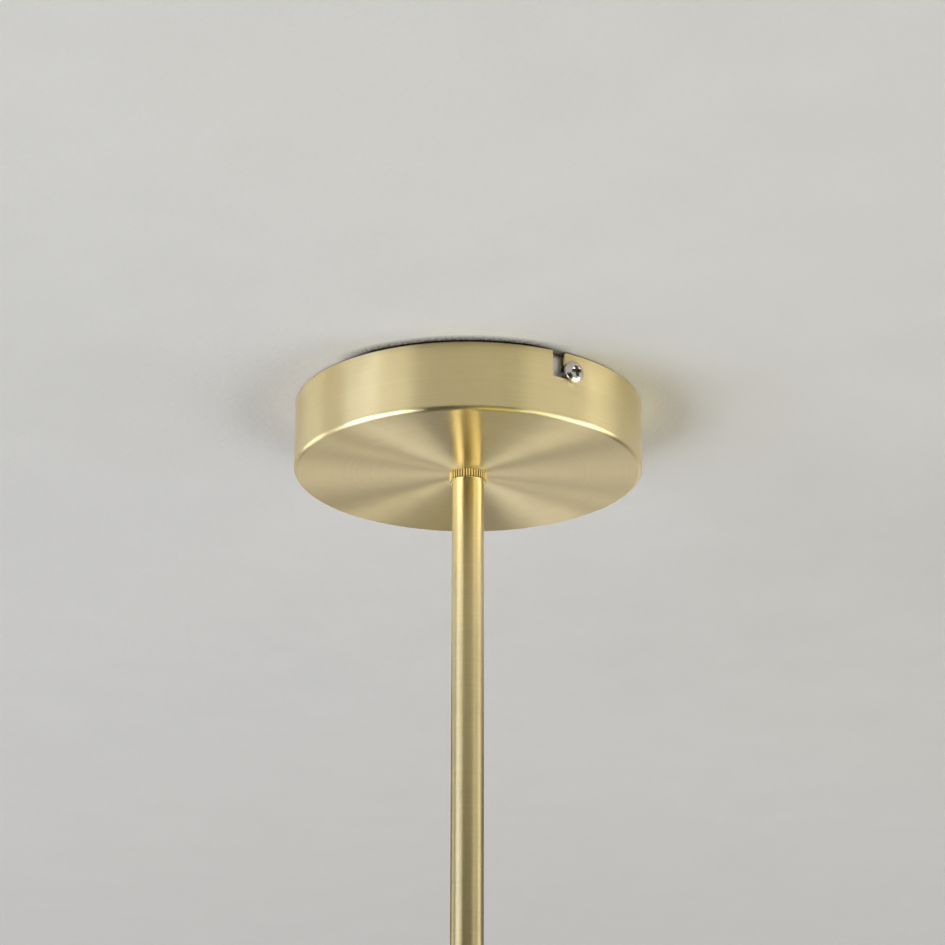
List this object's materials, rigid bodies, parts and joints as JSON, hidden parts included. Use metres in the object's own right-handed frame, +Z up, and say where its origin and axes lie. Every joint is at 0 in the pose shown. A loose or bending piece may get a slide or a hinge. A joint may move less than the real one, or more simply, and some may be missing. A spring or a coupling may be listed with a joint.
{
  "type": "ceiling light",
  "caption": "Ceiling light: round canopy with side lock screws, straight stem, and a hub whose bent arms carry opal glass globes.",
  "frame": {"origin": "on the stem's axis in the ceiling plane, at the centre of the bracket's two fixing holes", "axes": "+Z up into the ceiling along the stem; arms along X and Y; the seen lock screw is on the -Y side, 35.3 degrees to the right"},
  "size_m": [0.44, 0.44, 0.4748],
  "materials": {
    "zinc_steel": "bright zinc plate",
    "white_plastic": "moulded, plain",
    "bare_brass": "turned, uncoated",
    "nickel_screw": "nickel plated",
    "tinned_metal": "tinned",
    "brown_insulation": "smooth insulation",
    "blue_insulation": "smooth insulation",
    "green_yellow_insulation": "smooth insulation",
    "satin_brass": "fine brushed, clear lacquer",
    "polished_brass": "bright, straight knurl",
    "clear_sheath": "smooth sheath",
    "ceramic": "glazed ceramic",
    "frosted_lamp": "frosted",
    "opal_glass": "opal white, satin"
  },
  "bodies": {
    "ceiling_bracket": {"ceiling_bracket": "zinc_steel", "terminal_block": "white_plastic", "terminal_sleeves": "bare_brass", "terminal_clamp_screws": "nickel_screw", "terminal_fixing_screws": "nickel_screw", "earth_eyelet": "tinned_metal", "earth_washer": "nickel_screw", "earth_screw": "nickel_screw", "live_lead": "brown_insulation", "neutral_lead": "blue_insulation", "earth_lead": "green_yellow_insulation"},
    "fixture": {"canopy": "satin_brass", "canopy_nipple": "bare_brass", "canopy_washer": "zinc_steel", "canopy_tooth_washer": "zinc_steel", "canopy_nut": "zinc_steel", "wire_bush": "white_plastic", "stem_top_ring": "polished_brass", "stem_tube": "satin_brass", "stem_foot_ring": "polished_brass", "stem_cable": "clear_sheath", "hub_nipple": "bare_brass", "hub_body": "satin_brass", "hub_cap": "satin_brass", "hub_connector": "white_plastic", "arm_rings": "polished_brass", "arm_nipples": "bare_brass", "cup_washers": "zinc_steel", "cup_nuts": "zinc_steel", "arm_cables": "clear_sheath", "arm_tube_1": "satin_brass", "lamp_cup_1": "satin_brass", "shade_collar_1": "white_plastic", "lamp_holder_1": "ceramic", "lamp_1": "frosted_lamp", "glass_globe_1": "opal_glass", "arm_tube_2": "satin_brass", "lamp_cup_2": "satin_brass", "shade_collar_2": "white_plastic", "lamp_holder_2": "ceramic", "lamp_2": "frosted_lamp", "glass_globe_2": "opal_glass", "arm_tube_3": "satin_brass", "lamp_cup_3": "satin_brass", "shade_collar_3": "white_plastic", "lamp_holder_3": "ceramic", "lamp_3": "frosted_lamp", "glass_globe_3": "opal_glass", "arm_tube_4": "satin_brass", "lamp_cup_4": "satin_brass", "shade_collar_4": "white_plastic", "lamp_holder_4": "ceramic", "lamp_4": "frosted_lamp", "glass_globe_4": "opal_glass"},
    "lock_screw_front": {"lock_screw_front": "nickel_screw"},
    "lock_screw_rear": {"lock_screw_rear": "nickel_screw"}
  },
  "joints": [
    {"name": "canopy_turn", "type": "hinge", "parent": "ceiling_bracket", "child": "fixture", "pos_m": [0, 0, 0], "axis": [0, 0, 1], "range_deg": [0, 5.15]},
    {"name": "front_screw_loosen", "type": "slide", "parent": "ceiling_bracket", "child": "lock_screw_front", "axis": [0.5779, -0.8161, 0], "range_m": [0, 0.002]},
    {"name": "rear_screw_loosen", "type": "slide", "parent": "ceiling_bracket", "child": "lock_screw_rear", "axis": [-0.5779, 0.8161, 0], "range_m": [0, 0.002]}
  ]
}
